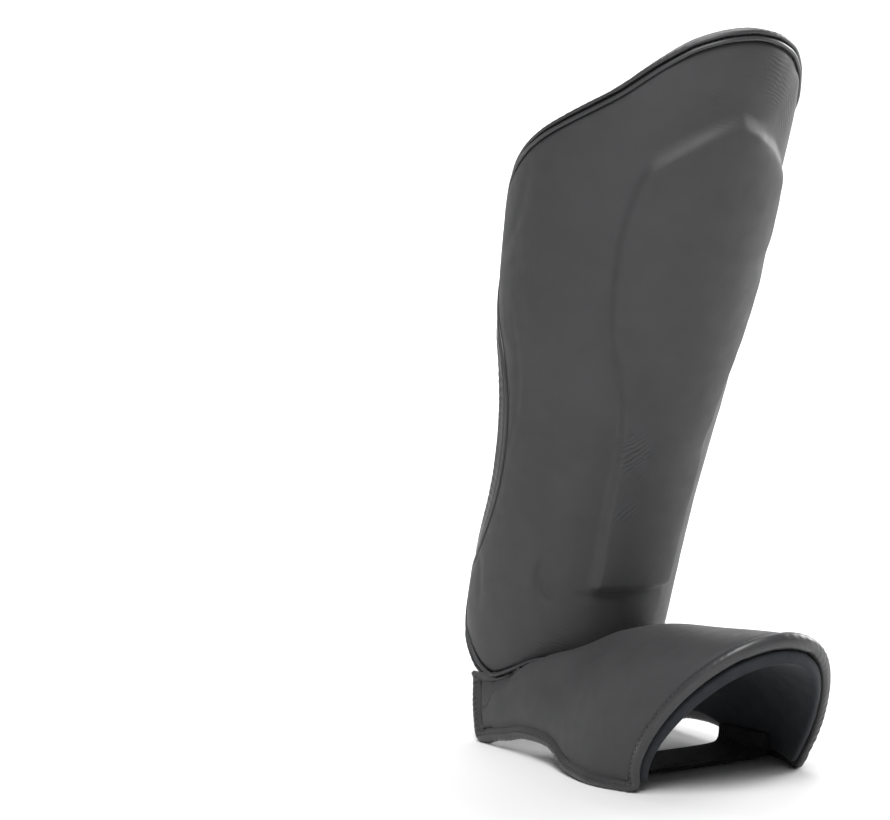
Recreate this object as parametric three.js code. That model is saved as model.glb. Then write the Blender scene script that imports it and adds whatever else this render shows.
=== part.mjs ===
// Right shin and instep guard standing on its instep, in millimetres.
// Toes point to -Y, the shin pad rises to +Z, the mid plane is X = 0, the floor is Z = 0.
import * as THREE from "three";

// Shin pad
const SHIN_LENGTH = 433; // from the ankle point up the axis to the top of the pad
const SHIN_RADIUS = 88.5; // outside radius at the top
const SHIN_LEAN = 16.6; // forward lean of the axis, degrees
const ANKLE_BACK = 149.2; // how far back the axis stands at the ankle
const ANKLE_HEIGHT = 50; // height of the ankle point
const WING_WRAP = 128; // how far round the wings reach, degrees from the front
const SHIN_FOAM = 15; // foam at the front
const WING_FOAM = 11; // foam at the wings
const FOAM_TAPER = 0.7; // share of the way round where the foam has come down to that
const RIDGE_HEIGHT = 6.5; // raised bar over the shin bone
const RIDGE_WRAP = 40; // widest half of the raised bar, degrees
const EDGE_DROP = 2.2; // how far the face rolls in at its edges
const EDGE_ROLL = 9; // width of that roll

// Instep pad
const INSTEP_HALF_WIDTH = 74;
const INSTEP_TOP = 98; // height of the toe rim
const INSTEP_TOE = 82; // how far forward the toe rim of the pad reaches
const TOP_WALL = 18; // pad and lining together over the instep
const SIDE_WALL = 12; // pad and lining together at the sides
const PAD_SHARE = 0.5; // share of the wall that is the outer pad
const LINING_REACH = 5; // how far the lining runs past the pad at the toes
const LINING_START = 0.09; // share of the instep's length the lining stays clear of the ankle seam

// Edges and straps
const BAND_WIDTH = 13; // stitched band at its widest, along the wings
const BINDING_WIDTH = 7.5; // rolled edge of the instep
const PIPING_RADIUS = 1.5;
const ANKLE_BAND = 0.35; // share of the band's width that is left along the ankle
const HEEL_BAND = 0.6; // share of it beside the heel
const TOP_BAND = 0.4; // share of it along the top
const ANKLE_DEPTH = 0.55; // share of the edge's thickness the band covers along the ankle
const SEAM_GAP = 0.4; // free space between neighbouring pieces
const STRAP_SEAT = 0.8; // free space between a strap and the padding it lies on
const SOLE_FLAT = 1.8; // what would end this low is pressed flat on the floor
const STRAP_THICKNESS = 2.2;
const STRAP_STEPS = 24; // flat steps round a calf strap
const CALF_STRAP_WIDTH = 48;
const LOWER_STRAP = { rise: 0.143, inside: 90, outside: 84 }; // share of SHIN_LENGTH, ends in degrees
const UPPER_STRAP = { rise: 0.605, inside: 100, outside: 92 };
const FOOT_STRAP_WIDTH = 44;
const FOOT_STRAP_BACK = 23; // middle of the foot strap behind the zero line
const FOOT_STRAP_END = 14; // height of its turned-up ends
const FOOT_STRAP_SEAT = 0.95; // column of the lining its ends lie on

// Outside radius up the shin, shares of SHIN_LENGTH and SHIN_RADIUS
const SHIN_TAPER = [
  { rise: -0.1, radius: 0.72 },
  { rise: 0, radius: 0.735 },
  { rise: 0.23, radius: 0.762 },
  { rise: 0.46, radius: 0.845 },
  { rise: 0.69, radius: 0.92 },
  { rise: 0.85, radius: 0.957 },
  { rise: 1, radius: 1 },
];

// Top line of the pad, shares of WING_WRAP and SHIN_LENGTH
const TOP_LINE = [
  { wrap: 0, rise: 1 },
  { wrap: 0.117, rise: 0.992 },
  { wrap: 0.195, rise: 0.975 },
  { wrap: 0.281, rise: 0.945 },
  { wrap: 0.39, rise: 0.9 },
  { wrap: 0.516, rise: 0.859 },
  { wrap: 0.68, rise: 0.808 },
  { wrap: 0.805, rise: 0.762 },
  { wrap: 0.883, rise: 0.725 },
  { wrap: 0.953, rise: 0.674 },
];

// Bottom line of the pad, arched over the instep
const BOTTOM_LINE = [
  { wrap: 0, rise: 0.068 },
  { wrap: 0.19, rise: 0.064 },
  { wrap: 0.27, rise: 0.06 },
  { wrap: 0.35, rise: 0.053 },
  { wrap: 0.43, rise: 0.036 },
  { wrap: 0.51, rise: 0.014 },
  { wrap: 0.59, rise: -0.003 },
  { wrap: 0.69, rise: 0.003 },
  { wrap: 0.78, rise: 0.018 },
  { wrap: 0.875, rise: 0.032 },
  { wrap: 0.922, rise: 0.046 },
];

// Rear edge of a wing, cut away between the two straps
const WING_LINE = [
  { rise: 0.046, wrap: 0.922 },
  { rise: 0.065, wrap: 0.973 },
  { rise: 0.09, wrap: 0.992 },
  { rise: 0.115, wrap: 0.965 },
  { rise: 0.139, wrap: 0.89 },
  { rise: 0.17, wrap: 0.83 },
  { rise: 0.25, wrap: 0.735 },
  { rise: 0.3, wrap: 0.706 },
  { rise: 0.36, wrap: 0.694 },
  { rise: 0.41, wrap: 0.705 },
  { rise: 0.45, wrap: 0.735 },
  { rise: 0.475, wrap: 0.766 },
  { rise: 0.5, wrap: 0.82 },
  { rise: 0.52, wrap: 0.89 },
  { rise: 0.545, wrap: 0.968 },
  { rise: 0.58, wrap: 1 },
  { rise: 0.63, wrap: 0.995 },
  { rise: 0.674, wrap: 0.953 },
];

// Half width of the raised bar, shares of SHIN_LENGTH and RIDGE_WRAP
const RIDGE_LINE = [
  { rise: 0.08, wrap: 0.55 },
  { rise: 0.18, wrap: 0.58 },
  { rise: 0.225, wrap: 0.575 },
  { rise: 0.28, wrap: 0.61 },
  { rise: 0.39, wrap: 0.6 },
  { rise: 0.445, wrap: 0.63 },
  { rise: 0.49, wrap: 0.715 },
  { rise: 0.55, wrap: 0.88 },
  { rise: 0.62, wrap: 0.975 },
  { rise: 0.69, wrap: 1 },
  { rise: 0.77, wrap: 0.94 },
  { rise: 0.81, wrap: 0.87 },
  { rise: 0.945, wrap: 0.9 },
];

// Heights of the two ends of the raised bar, in the middle, at its side and out at the wing
const RIDGE_FOOT = { middle: 0.178, side: 0.178, wing: 0.102 };
const RIDGE_HEAD = { middle: 0.891, side: 0.81, wing: 0.605 };

// Lines of the shin pad from the middle (0) out to the wing's edge (1).
// The bar's crest, flank and foot lie at 0.284, 0.3 and 0.32.
const BAR_SIDE = 0.3;
const BAR_STEPS = 16;
const SHIN_COLUMNS = [
  { out: 0, bar: 1 },
  { out: 0.1, bar: 1 },
  { out: 0.2, bar: 1 },
  { out: 0.284, bar: 1 },
  { out: 0.3, bar: 0.5 },
  { out: 0.32, bar: 0 },
  { out: 0.41, bar: 0 },
  { out: 0.51, bar: 0 },
  { out: 0.6, bar: 0 },
  { out: 0.69, bar: 0 },
  { out: 0.78, bar: 0 },
  { out: 0.87, bar: 0 },
  { out: 0.94, bar: 0 },
  { out: 0.985, bar: 0 },
  { out: 1, bar: 0 },
];

// Instep, from the ankle (0) to the toes (1).
// Shares: edgeY and topY of INSTEP_TOE, edge and top of INSTEP_TOP, width of INSTEP_HALF_WIDTH.
const INSTEP_LINES = [
  { at: 0, edgeY: 1.7, topY: 0.94, edge: 0.07, top: 0.56, width: 0.9, full: 2.5, slant: 3.2 },
  { at: 0.08, edgeY: 1.53, topY: 0.86, edge: 0.11, top: 0.655, width: 0.9, full: 2.4, slant: 3 },
  { at: 0.17, edgeY: 1.34, topY: 0.75, edge: 0.14, top: 0.775, width: 0.898, full: 2.3, slant: 2.7 },
  { at: 0.3, edgeY: 1.07, topY: 0.54, edge: 0.19, top: 0.868, width: 0.895, full: 2.3, slant: 2.2 },
  { at: 0.45, edgeY: 0.78, topY: 0.24, edge: 0.195, top: 0.905, width: 0.9, full: 2.3, slant: 1.8 },
  { at: 0.55, edgeY: 0.6, topY: 0.03, edge: 0.16, top: 0.92, width: 0.92, full: 2.3, slant: 1.6 },
  { at: 0.65, edgeY: 0.41, topY: -0.18, edge: 0.092, top: 0.935, width: 0.96, full: 2.3, slant: 1.5 },
  { at: 0.8, edgeY: 0.06, topY: -0.56, edge: 0.074, top: 0.968, width: 1, full: 2.3, slant: 1.4 },
  { at: 1, edgeY: -0.31, topY: -1, edge: 0.07, top: 1, width: 0.935, full: 2.3, slant: 1.3 },
];
const INSTEP_ROWS = [0, 0.03, 0.1, 0.18, 0.26, 0.34, 0.42, 0.5, 0.57, 0.64, 0.71, 0.79, 0.87, 0.94, 0.98, 1];
const INSTEP_COLUMNS = [0, 0.1, 0.2, 0.3, 0.4, 0.51, 0.62, 0.72, 0.82, 0.91, 0.97, 1];
const HEEL_CORNER = 0.62; // column at which the ankle seam ends and the heel end begins
const SEAM_WRAP = 86; // where the ankle seam ends, degrees round the shin
const SEAM_FADE = 0.45; // how far along the instep the seam's shape is felt
const RIM_TUCK = 0.06; // how far the toe rim's lower ends turn in

// How an end of the foot strap turns up: shares of FOOT_STRAP_END, and degrees from upright
const FOOT_STRAP_TURN = [
  { inward: 0, up: 1, turn: 0 },
  { inward: 0, up: 0.5, turn: 0 },
  { inward: 0.07, up: 0.28, turn: 30 },
  { inward: 0.21, up: 0.14, turn: 60 },
  { inward: 0.43, up: 0.07, turn: 80 },
  { inward: 1.8, up: 0.02, turn: 90 },
];

const rad = (degrees) => (degrees * Math.PI) / 180;
const lerp = (a, b, t) => a + (b - a) * t;
const clamp = (value, low, high) => Math.min(high, Math.max(low, value));

// Value of a table's column anywhere between its rows, on a smooth curve through them
function read(table, along, column, at) {
  const last = table.length - 1;
  if (at <= table[0][along]) return table[0][column];
  if (at >= table[last][along]) return table[last][column];
  let i = 0;
  while (at > table[i + 1][along]) i += 1;
  const step = (k) => table[k + 1][along] - table[k][along];
  const slope = (k) => (table[k + 1][column] - table[k][column]) / step(k);
  const tangent = (k) => {
    if (k === 0) return slope(0);
    if (k === last) return slope(last - 1);
    const product = slope(k - 1) * slope(k);
    return product <= 0 ? 0 : (2 * product) / (slope(k - 1) + slope(k));
  };
  const t = (at - table[i][along]) / step(i);
  const t2 = t * t;
  const t3 = t2 * t;
  return (
    (2 * t3 - 3 * t2 + 1) * table[i][column] +
    (t3 - 2 * t2 + t) * step(i) * tangent(i) +
    (3 * t2 - 2 * t3) * table[i + 1][column] +
    (t3 - t2) * step(i) * tangent(i + 1)
  );
}

// Mirrors a list running from the middle outwards into one running from edge to edge
function mirrored(list) {
  const left = list.slice(1).reverse();
  return [...left.map((item) => [item, -1]), ...list.map((item) => [item, 1])];
}

// Closed body from lists of points and triangles, turned the right way out
function body(points, faces) {
  let volume = 0;
  for (const [a, b, c] of faces) volume += points[a].dot(points[b].clone().cross(points[c]));
  const places = new THREE.Float32BufferAttribute(points.flatMap((point) => point.toArray()), 3);
  const geometry = new THREE.BufferGeometry();
  geometry.setAttribute("position", places);
  geometry.setIndex(faces.flatMap(([a, b, c]) => (volume < 0 ? [a, c, b] : [a, b, c])));
  geometry.computeVertexNormals();
  return geometry;
}

// Thick sheet between two nets of points that share their edges' layout
function sheetBody(outer, inner) {
  const last = outer.length - 1;
  const side = outer[0].length - 1;
  const points = [...outer.flat(), ...inner.flat()];
  const at = (face, i, j) => (face * (last + 1) + i) * (side + 1) + j;
  const faces = [];
  const quad = (a, b, c, d) => faces.push([a, b, c], [a, c, d]);
  for (let i = 0; i < last; i += 1) {
    for (let j = 0; j < side; j += 1) {
      quad(at(0, i, j), at(0, i, j + 1), at(0, i + 1, j + 1), at(0, i + 1, j));
      quad(at(1, i, j), at(1, i + 1, j), at(1, i + 1, j + 1), at(1, i, j + 1));
    }
  }
  for (let j = 0; j < side; j += 1) {
    quad(at(0, 0, j + 1), at(0, 0, j), at(1, 0, j), at(1, 0, j + 1));
    quad(at(0, last, j), at(0, last, j + 1), at(1, last, j + 1), at(1, last, j));
  }
  for (let i = 0; i < last; i += 1) {
    quad(at(0, i, 0), at(0, i + 1, 0), at(1, i + 1, 0), at(1, i, 0));
    quad(at(0, i + 1, side), at(0, i, side), at(1, i, side), at(1, i + 1, side));
  }
  return body(points, faces);
}

// Bar swept through a list of sections, closed on itself or capped at both ends
function sweptBody(sections, closed) {
  const sides = sections[0].length;
  const points = sections.flat();
  const faces = [];
  const count = closed ? sections.length : sections.length - 1;
  for (let i = 0; i < count; i += 1) {
    const here = i * sides;
    const next = ((i + 1) % sections.length) * sides;
    for (let k = 0; k < sides; k += 1) {
      const m = (k + 1) % sides;
      faces.push([here + k, next + k, next + m], [here + k, next + m, here + m]);
    }
  }
  if (!closed) {
    const end = (sections.length - 1) * sides;
    for (let k = 1; k < sides - 1; k += 1) {
      faces.push([0, k, k + 1], [end, end + k + 1, end + k]);
    }
  }
  return body(points, faces);
}

// Frames along an edge: the point, the face's outward normal and the way out past the edge
function edgeFrames(points, normals, inward, closed) {
  const count = points.length;
  return points.map((point, i) => {
    const before = points[closed ? (i + count - 1) % count : Math.max(i - 1, 0)];
    const after = points[closed ? (i + 1) % count : Math.min(i + 1, count - 1)];
    const along = after.clone().sub(before).normalize();
    const out = along.clone().cross(normals[i]).normalize();
    if (out.dot(point.clone().sub(inward[i])) < 0) out.negate();
    return { point, normal: normals[i], out };
  });
}

function place(frame, out, lift) {
  return frame.point.clone().addScaledVector(frame.out, out).addScaledVector(frame.normal, lift);
}

// Edge of a net of points, walked round once, leaving out the lines right beside the corners
function walkRound(rows, columns) {
  const steps = [];
  for (let j = 0; j < columns - 1; j += 1) steps.push([0, j]);
  for (let i = 0; i < rows - 1; i += 1) steps.push([i, columns - 1]);
  for (let j = columns - 1; j > 0; j -= 1) steps.push([rows - 1, j]);
  for (let i = rows - 1; i > 0; i -= 1) steps.push([i, 0]);
  const beside = (k, size) => k === 1 || k === size - 2;
  return steps.filter(([i, j]) => !beside(i, rows) && !beside(j, columns));
}

const shinRadius = (rise) => SHIN_RADIUS * read(SHIN_TAPER, "rise", "radius", rise / SHIN_LENGTH);

// Point of the shin: degrees round from the front, distance up the axis, height off the face
function shinPoint(wrap, rise, lift) {
  const radius = shinRadius(rise) + lift;
  const lean = rad(SHIN_LEAN);
  const ahead = radius * Math.cos(rad(wrap));
  return new THREE.Vector3(
    radius * Math.sin(rad(wrap)),
    ANKLE_BACK - rise * Math.sin(lean) - ahead * Math.cos(lean),
    ANKLE_HEIGHT + rise * Math.cos(lean) - ahead * Math.sin(lean),
  );
}

function shinNormal(wrap) {
  const lean = rad(SHIN_LEAN);
  const ahead = Math.cos(rad(wrap));
  return new THREE.Vector3(Math.sin(rad(wrap)), -ahead * Math.cos(lean), -ahead * Math.sin(lean));
}

const wrapAt = (table, full, rise) => full * read(table, "rise", "wrap", rise / SHIN_LENGTH);
const riseAt = (table, wrap) => SHIN_LENGTH * read(table, "wrap", "rise", wrap / WING_WRAP);

// Height of one end of the raised bar at a column
function barLine(line, out) {
  const inside = clamp(out / BAR_SIDE, 0, 1);
  const outside = clamp((out - BAR_SIDE) / (1 - BAR_SIDE), 0, 1);
  const inner = lerp(line.middle, line.side, inside ** 1.3);
  return SHIN_LENGTH * lerp(inner, line.wing, outside);
}

// The rows of the shin pad: below the bar, along it and above it, with the share of its height
function shinRows() {
  const rows = [];
  for (const part of [0, 0.07, 0.45, 0.94]) rows.push({ zone: "foot", part, bar: 0 });
  rows.push({ zone: "foot", part: 1, bar: 0.5 });
  rows.push({ zone: "bar", part: 0.009, bar: 1 });
  for (let k = 1; k < BAR_STEPS; k += 1) rows.push({ zone: "bar", part: k / BAR_STEPS, bar: 1 });
  rows.push({ zone: "bar", part: 0.986, bar: 1 });
  rows.push({ zone: "head", part: 0, bar: 0.5 });
  for (const part of [0.1, 0.38, 0.68, 0.93, 1]) rows.push({ zone: "head", part, bar: 0 });
  return rows;
}

// Degrees round and distance up for one row and column of the shin pad
function shinPlace(row, out) {
  const zones = { foot: [null, RIDGE_FOOT], bar: [RIDGE_FOOT, RIDGE_HEAD], head: [RIDGE_HEAD, null] };
  const ends = zones[row.zone];
  const edge = row.zone === "foot" ? BOTTOM_LINE : TOP_LINE;
  const edgeWing = edge[edge.length - 1].rise * SHIN_LENGTH;
  const edgeBar = riseAt(edge, RIDGE_WRAP * (row.zone === "foot" ? 0.55 : 0.9));
  const riseOf = (line, column, toEdge) => (line ? barLine(line, column) : toEdge);
  const atBar = lerp(riseOf(ends[0], BAR_SIDE, edgeBar), riseOf(ends[1], BAR_SIDE, edgeBar), row.part);
  const atWing = lerp(riseOf(ends[0], 1, edgeWing), riseOf(ends[1], 1, edgeWing), row.part);
  const barWrap = wrapAt(RIDGE_LINE, RIDGE_WRAP, atBar);
  const wingWrap = wrapAt(WING_LINE, WING_WRAP, atWing);
  const inside = Math.min(out / BAR_SIDE, 1);
  const outside = Math.max((out - BAR_SIDE) / (1 - BAR_SIDE), 0);
  const wrap = lerp(barWrap * inside, wingWrap, outside);
  const edgeWrap = lerp(
    wrapAt(RIDGE_LINE, RIDGE_WRAP, edgeBar) * inside,
    wrapAt(WING_LINE, WING_WRAP, edgeWing),
    outside,
  );
  const edgeRise = riseAt(edge, edgeWrap);
  const rise = lerp(riseOf(ends[0], out, edgeRise), riseOf(ends[1], out, edgeRise), row.part);
  const toEdge = row.zone === "bar" ? Infinity : Math.abs(rise - edgeRise);
  const toWing = rad(wingWrap - wrap) * shinRadius(rise);
  return { wrap, rise, inset: Math.min(toEdge, toWing) };
}

function shinNets() {
  const rows = shinRows();
  const net = { outer: [], inner: [], wraps: [] };
  for (const row of rows) {
    const line = mirrored(SHIN_COLUMNS).map(([column, side]) => {
      const spot = shinPlace(row, column.out);
      const roll = EDGE_DROP * Math.max(0, 1 - spot.inset / EDGE_ROLL) ** 2;
      const foam = lerp(SHIN_FOAM, WING_FOAM, Math.min(1, column.out / FOAM_TAPER) ** 2);
      return {
        outer: shinPoint(side * spot.wrap, spot.rise, RIDGE_HEIGHT * column.bar * row.bar - roll),
        inner: shinPoint(side * spot.wrap, spot.rise, -foam),
        wrap: side * spot.wrap,
      };
    });
    net.outer.push(line.map((item) => item.outer));
    net.inner.push(line.map((item) => item.inner));
    net.wraps.push(line.map((item) => item.wrap));
  }
  return net;
}

// Width and depth of the stitched band: slim along the ankle, narrow along the top, wide at the wings
function bandSize(wrap, row, lastRow) {
  if (row === 0 && Math.abs(wrap) < SEAM_WRAP + 4) return { width: ANKLE_BAND, depth: ANKLE_DEPTH };
  if (row === 0) return { width: HEEL_BAND, depth: 1 };
  return { width: row === lastRow ? TOP_BAND : 1, depth: 1 };
}

function shinEdge(net) {
  const rows = net.outer.length;
  const columns = net.outer[0].length;
  const steps = walkRound(rows, columns);
  const frames = edgeFrames(
    steps.map(([i, j]) => net.outer[i][j]),
    steps.map(([i, j]) => shinNormal(net.wraps[i][j])),
    steps.map(([i, j]) => net.outer[clamp(i, 2, rows - 3)][clamp(j, 2, columns - 3)]),
    true,
  );
  const sizes = steps.map(([i, j]) => bandSize(net.wraps[i][j], i, rows - 1));
  const count = sizes.length;
  frames.forEach((frame, k) => {
    const near = [sizes[(k + count - 1) % count], sizes[k], sizes[(k + 1) % count]];
    frame.width = (BAND_WIDTH * (near[0].width + near[1].width + near[2].width)) / 3;
    frame.depth = (WING_FOAM - EDGE_DROP) * Math.min(...near.map((size) => size.depth));
  });
  return frames;
}

const PIPING_OUT = SEAM_GAP + PIPING_RADIUS;
const PIPING_LIFT = 0.25 * PIPING_RADIUS;

function pipingBody(frames) {
  const sides = 6;
  const sections = frames.map((frame) => {
    const ring = [];
    for (let k = 0; k < sides; k += 1) {
      const turn = ((k + 0.5) / sides) * 2 * Math.PI;
      const out = PIPING_OUT + PIPING_RADIUS * Math.cos(turn);
      ring.push(place(frame, out, PIPING_LIFT + PIPING_RADIUS * Math.sin(turn)));
    }
    return ring;
  });
  return sweptBody(sections, true);
}

function shinBandBody(frames) {
  const under = PIPING_LIFT - PIPING_RADIUS - SEAM_GAP;
  const beside = PIPING_OUT + PIPING_RADIUS + SEAM_GAP / 2;
  const sections = frames.map((frame) => {
    const past = (share) => lerp(beside, Math.max(frame.width, beside + PIPING_RADIUS / 2), share);
    return [
      place(frame, SEAM_GAP, under),
      place(frame, beside, under),
      place(frame, past(0.15), -0.04 * frame.depth),
      place(frame, past(0.78), 0.04 * frame.depth),
      place(frame, past(1), -0.12 * frame.depth),
      place(frame, past(1), -0.7 * frame.depth),
      place(frame, past(0.6), -frame.depth),
      place(frame, SEAM_GAP, -frame.depth),
    ];
  });
  return sweptBody(sections, true);
}

// Ankle end of the instep, from the top (0) to the bottom edge (1): the seam, then the heel end
function ankleEnd(out, arch) {
  const seamOut = BAND_WIDTH * ANKLE_BAND + 2 * SEAM_GAP;
  const ahead = 2 * PIPING_RADIUS + 3 * SEAM_GAP;
  const seam = (wrap) => shinPoint(wrap, riseAt(BOTTOM_LINE, wrap) - seamOut, ahead * Math.cos(rad(wrap)));
  if (out <= HEEL_CORNER) return seam((SEAM_WRAP * out) / HEEL_CORNER);
  const down = (out - HEEL_CORNER) / (1 - HEEL_CORNER);
  const corner = seam(SEAM_WRAP);
  const point = corner.clone().lerp(arch, down);
  point.y = lerp(corner.y, arch.y, down ** 4);
  return point;
}

const instepValue = (at, column) => read(INSTEP_LINES, "at", column, at);

// The plain arch the ankle end of the instep would have without the seam
function ankleArch(climb) {
  const start = INSTEP_LINES[0];
  const up = Math.sin(climb) ** (2 / start.full);
  return new THREE.Vector3(
    INSTEP_HALF_WIDTH * start.width * Math.cos(climb),
    INSTEP_TOE * lerp(start.edgeY, start.topY, up ** start.slant),
    INSTEP_TOP * lerp(start.edge, start.top, up),
  );
}

// Point of the instep's face; wall is the share of the wall's thickness gone through
function instepPoint(at, out, side, wall) {
  const climb = rad(90 * (1 - out));
  const up = Math.sin(climb) ** (2 / instepValue(at, "full"));
  const edge = INSTEP_TOP * instepValue(at, "edge");
  const top = INSTEP_TOP * instepValue(at, "top");
  const width = INSTEP_HALF_WIDTH * instepValue(at, "width");
  const tuck = 1 - RIM_TUCK * at ** 8 * Math.max(0, 1 - up / 0.3) ** 2;
  const arch = up ** instepValue(at, "slant");
  const back = INSTEP_TOE * lerp(instepValue(at, "edgeY"), instepValue(at, "topY"), arch);
  const point = new THREE.Vector3(width * Math.cos(climb) * tuck, back, lerp(edge, top, up));
  const fade = Math.max(0, 1 - at / SEAM_FADE) ** 2;
  if (fade > 0) {
    const start = ankleArch(climb);
    point.addScaledVector(ankleEnd(out, start).sub(start), fade);
  }
  point.x *= side * (1 - (wall * SIDE_WALL) / width);
  point.z = edge + (point.z - edge) * (1 - (wall * TOP_WALL) / (top - edge));
  return point;
}

function instepNet(wall, start) {
  return INSTEP_ROWS.map((row) => {
    const at = lerp(start, 1, row);
    return mirrored(INSTEP_COLUMNS).map(([out, side]) => instepPoint(at, out, side, wall));
  });
}

// Outward normal of a net at one of its points
function netNormal(net, i, j) {
  const rows = net.length;
  const columns = net[0].length;
  const across = net[i][Math.min(j + 1, columns - 1)].clone().sub(net[i][Math.max(j - 1, 0)]);
  const along = net[Math.min(i + 1, rows - 1)][j].clone().sub(net[Math.max(i - 1, 0)][j]);
  const normal = across.cross(along).normalize();
  const middle = new THREE.Vector3(0, net[i][j].y, net[rows - 1][0].z);
  return normal.dot(net[i][j].clone().sub(middle)) < 0 ? normal.negate() : normal;
}

// The free edge of the instep: down one heel end, along the floor, over the toes and back
function freeEdge(net) {
  const rows = net.length;
  const columns = net[0].length;
  const corner = INSTEP_COLUMNS.length - 1 - INSTEP_COLUMNS.indexOf(HEEL_CORNER);
  const steps = [];
  for (let j = corner; j > 0; j -= 1) steps.push([0, j]);
  for (let i = 0; i < rows - 1; i += 1) steps.push([i, 0]);
  for (let j = 0; j < columns - 1; j += 1) steps.push([rows - 1, j]);
  for (let i = rows - 1; i > 0; i -= 1) steps.push([i, columns - 1]);
  for (let j = columns - 1; j >= columns - 1 - corner; j -= 1) steps.push([0, j]);
  return steps;
}

function instepFrames(pad) {
  const steps = freeEdge(pad.outer);
  const rows = pad.outer.length;
  const columns = pad.outer[0].length;
  const frames = edgeFrames(
    steps.map(([i, j]) => pad.outer[i][j]),
    steps.map(([i, j]) => netNormal(pad.outer, i, j)),
    steps.map(([i, j]) => pad.outer[clamp(i, 2, rows - 3)][clamp(j, 2, columns - 3)]),
    false,
  );
  steps.forEach(([i, j], k) => {
    const through = pad.inner[i][j].clone().sub(frames[k].point);
    frames[k].depth = -through.dot(frames[k].normal) - SEAM_GAP;
    frames[k].slant = through.dot(frames[k].out);
  });
  return frames;
}

function bindingBody(frames) {
  const sections = frames.map((frame) => {
    const back = SEAM_GAP + frame.slant;
    const spots = [
      [SEAM_GAP, -0.05 * BINDING_WIDTH],
      [0.3 * BINDING_WIDTH, 0.08 * BINDING_WIDTH],
      [0.75 * BINDING_WIDTH, 0.01 * BINDING_WIDTH],
      [BINDING_WIDTH, -0.35 * frame.depth],
      [BINDING_WIDTH, -0.7 * frame.depth],
      [Math.max(0.7 * BINDING_WIDTH, back + 0.13 * BINDING_WIDTH), -frame.depth],
      [back, -frame.depth],
    ];
    return spots.map(([out, lift]) => {
      const point = place(frame, out, lift);
      if (point.z < SOLE_FLAT) point.z = 0;
      return point;
    });
  });
  return sweptBody(sections, false);
}

function liningBody(pad, liner) {
  const outer = liner.outer.map((line) => line.map((point) => point.clone()));
  const inner = liner.inner.map((line) => line.map((point) => point.clone()));
  const last = outer.length - 1;
  const columns = outer[0].length;
  const frames = edgeFrames(
    pad.outer[last],
    pad.outer[last].map((point, j) => netNormal(pad.outer, last, j)),
    pad.outer[last - 2],
    false,
  );
  for (let j = 0; j < columns; j += 1) {
    outer[last][j].addScaledVector(frames[j].out, LINING_REACH);
    inner[last][j].addScaledVector(frames[j].out, LINING_REACH);
  }
  return sheetBody(outer, inner);
}

// Calf strap: sewn inside one wing, round the calf, pressed shut on the outside of the other
function calfStrap({ rise, inside, outside }) {
  const middle = rise * SHIN_LENGTH;
  const half = STRAP_THICKNESS / 2;
  const leave = WING_WRAP + 4;
  const sections = [];
  for (let k = 0; k <= STRAP_STEPS; k += 1) {
    const wrap = lerp(inside, 360 - outside, k / STRAP_STEPS);
    const past = clamp((wrap - leave) / (360 - 2 * leave), 0, 1);
    const ease = past * past * (3 - 2 * past);
    const lift = lerp(-(WING_FOAM + STRAP_SEAT + half), STRAP_SEAT + half, ease);
    const spot = (w, t) => shinPoint(-wrap, middle + (w * CALF_STRAP_WIDTH) / 2, lift + t * half);
    sections.push([spot(-1, -1), spot(1, -1), spot(1, 1), spot(-1, 1)]);
  }
  return sweptBody(sections, false);
}

// Half width of the room inside the lining, low down, at a distance behind the zero line
function liningSide(y) {
  let low = 0;
  let high = 1;
  for (let k = 0; k < 30; k += 1) {
    const at = (low + high) / 2;
    if (instepPoint(at, FOOT_STRAP_SEAT, 1, 1).y > y) low = at;
    else high = at;
  }
  return instepPoint(low, FOOT_STRAP_SEAT, 1, 1).x;
}

// Foot strap: flat under the sole, its ends turned up and sewn to the lining of the two lobes
function footStrap() {
  const back = FOOT_STRAP_BACK + FOOT_STRAP_WIDTH / 2;
  const front = FOOT_STRAP_BACK - FOOT_STRAP_WIDTH / 2;
  const half = STRAP_THICKNESS / 2;
  const low = SOLE_FLAT + half;
  const section = (side, { inward, up, turn }) => {
    const spot = (y, t) => {
      const x = liningSide(y) - STRAP_SEAT - half - inward * FOOT_STRAP_END;
      const thick = [t * half * Math.cos(rad(turn)), t * half * Math.sin(rad(turn))];
      return new THREE.Vector3(side * (x + thick[0]), y, low + up * FOOT_STRAP_END - thick[1]);
    };
    return [spot(front, 1), spot(back, 1), spot(back, -1), spot(front, -1)];
  };
  const near = FOOT_STRAP_TURN.map((bend) => section(-1, bend));
  const far = FOOT_STRAP_TURN.map((bend) => section(1, bend)).reverse();
  return sweptBody([...near, ...far], false);
}

const leather = { color: 0x4b4b4d, roughness: 0.62, metalness: 0 };
const trim = { color: 0x545457, roughness: 0.5, metalness: 0 };
const fabric = { color: 0x3d4249, roughness: 0.95, metalness: 0 };
const elastic = { color: 0x1d1d1f, roughness: 0.9, metalness: 0 };

const shin = shinNets();
const edge = shinEdge(shin);
const pad = { outer: instepNet(0, 0), inner: instepNet(PAD_SHARE, 0) };
const liner = {
  outer: instepNet(PAD_SHARE + SEAM_GAP / SIDE_WALL, LINING_START),
  inner: instepNet(1, LINING_START),
};
const pieces = [
  ["shin_pad", sheetBody(shin.outer, shin.inner), leather],
  ["shin_edge_band", shinBandBody(edge), leather],
  ["shin_piping", pipingBody(edge), trim],
  ["instep_pad", sheetBody(pad.outer, pad.inner), leather],
  ["instep_lining", liningBody(pad, liner), fabric],
  ["instep_binding", bindingBody(instepFrames(pad)), trim],
  ["foot_strap", footStrap(), elastic],
  ["calf_strap_lower", calfStrap(LOWER_STRAP), elastic],
  ["calf_strap_upper", calfStrap(UPPER_STRAP), elastic],
];

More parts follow.
